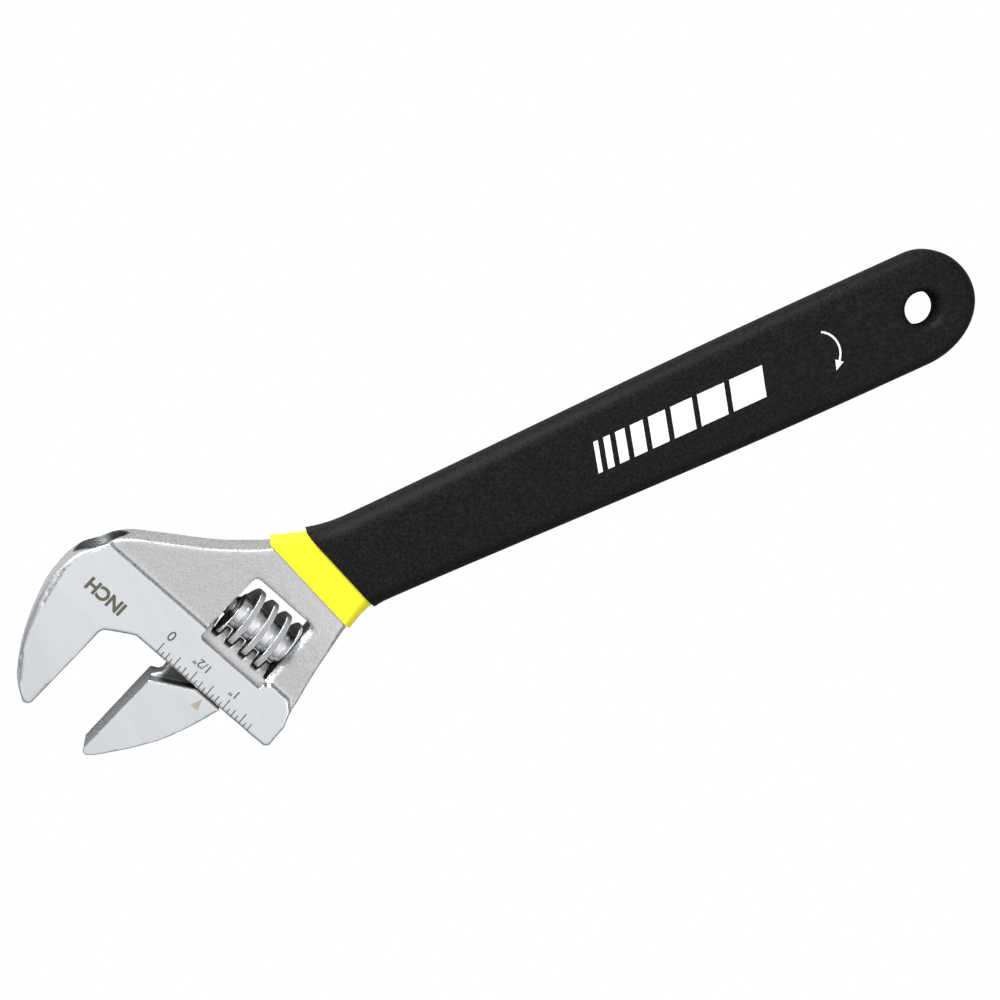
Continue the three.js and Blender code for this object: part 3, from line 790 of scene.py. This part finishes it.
figures = join_objects("scale_figures", [
    figure("zero", "0", 0.1, 6.6, 4.4, 0.04, False),
    figure("half", "1/2\"", 12.4, 6.5, 3.6, 0.05, True),
    figure("one", "1\"", 25.0, 6.3, 3.6, 0.05, True),
    figure("unit", "INCH", -21.6, 3.2, 5.4, 0.22, True),
])
finish(figures, etched, "frame", "forging_chrome")
finish(scale_ticks(), etched, "frame", "forging_chrome")
finish(pointer(), pointed, "jaw", "forging_chrome")
finish(turn_arrow(), printed, "frame", "black_vinyl")
finish(stripe_mark(), printed, "frame", "black_vinyl")

# ---- stage, lights and camera ------------------------------------------------------------------------
def soft_light(name, place, target, size, power):
    light = bpy.data.lights.new(name, "AREA")
    light.shape, light.size, light.energy = "DISK", size, power
    obj = new_object(name, light)
    obj.location = place
    obj.rotation_euler = (Vector(target) - Vector(place)).to_track_quat("-Z", "Y").to_euler()


def paper():
    """A white lit table to the camera, and a plain grey one to everything it lights."""
    s = Surface("paper")
    s.set(Base_Color=(0.42, 0.42, 0.42, 1), Roughness=0.9, Specular_IOR_Level=0.1)
    glow = s.add("ShaderNodeEmission")
    glow.inputs["Strength"].default_value = 1.0
    pick = s.add("ShaderNodeMixShader")
    s.link(s.add("ShaderNodeLightPath").outputs["Is Camera Ray"], pick.inputs[0])
    s.link(s.shader.outputs[0], pick.inputs[1])
    s.link(glow.outputs[0], pick.inputs[2])
    s.link(pick.outputs[0], s.tree.nodes["Material Output"].inputs["Surface"])
    return s.material


def studio_world():
    """Soft light from overhead that falls off toward a darker horizon."""
    world = bpy.data.worlds.new("studio")
    bpy.context.scene.world = world
    world.use_nodes = True
    tree = world.node_tree
    place = tree.nodes.new("ShaderNodeTexCoord")
    split = tree.nodes.new("ShaderNodeSeparateXYZ")
    ramp = tree.nodes.new("ShaderNodeValToRGB")
    tree.links.new(place.outputs["Generated"], split.inputs[0])
    tree.links.new(split.outputs["Z"], ramp.inputs["Fac"])
    tree.links.new(ramp.outputs["Color"], tree.nodes["Background"].inputs["Color"])
    stops = [(0.0, 0.15), (0.35, 0.26), (0.75, 0.6), (1.0, 1.0)]
    for k, (at, level) in enumerate(stops):
        element = ramp.color_ramp.elements[k] if k < 2 else ramp.color_ramp.elements.new(at)
        element.position, element.color = at, (level, level, level * 1.01, 1)


def stage():
    floor = mesh_object("floor", [(-4, -4, 0), (4, -4, 0), (4, 4, 0), (-4, 4, 0)], [(0, 1, 2, 3)])
    floor.data.materials.append(paper())
    studio_world()
    soft_light("key", (-0.1, 0.9, 0.42), (0, 0, 0), 0.5, 16)
    soft_light("fill", (0.5, -0.6, 0.9), (0, 0, 0), 0.7, 3)


CAMERA_AT = Vector((-0.02404, 0.14475, 0.62986))
CAMERA_LOOK = Vector((0.03478, -0.22865, -0.97289))
CAMERA_UP = Vector((0.41383, 0.88939, -0.19423))
FOCAL_SHARE = 2.1876  # focal length over the picture's width


def camera():
    data = bpy.data.cameras.new("camera")
    data.sensor_width, data.lens = 36, 36 * FOCAL_SHARE
    obj = new_object("camera", data)
    obj.location = CAMERA_AT
    back = -CAMERA_LOOK.normalized()
    right = CAMERA_UP.cross(back).normalized()
    up = back.cross(right)
    obj.rotation_mode = "QUATERNION"
    obj.rotation_quaternion = Matrix((right, up, back)).transposed().to_quaternion()
    bpy.context.scene.camera = obj


stage()
camera()
bpy.context.scene.view_settings.view_transform = "Standard"
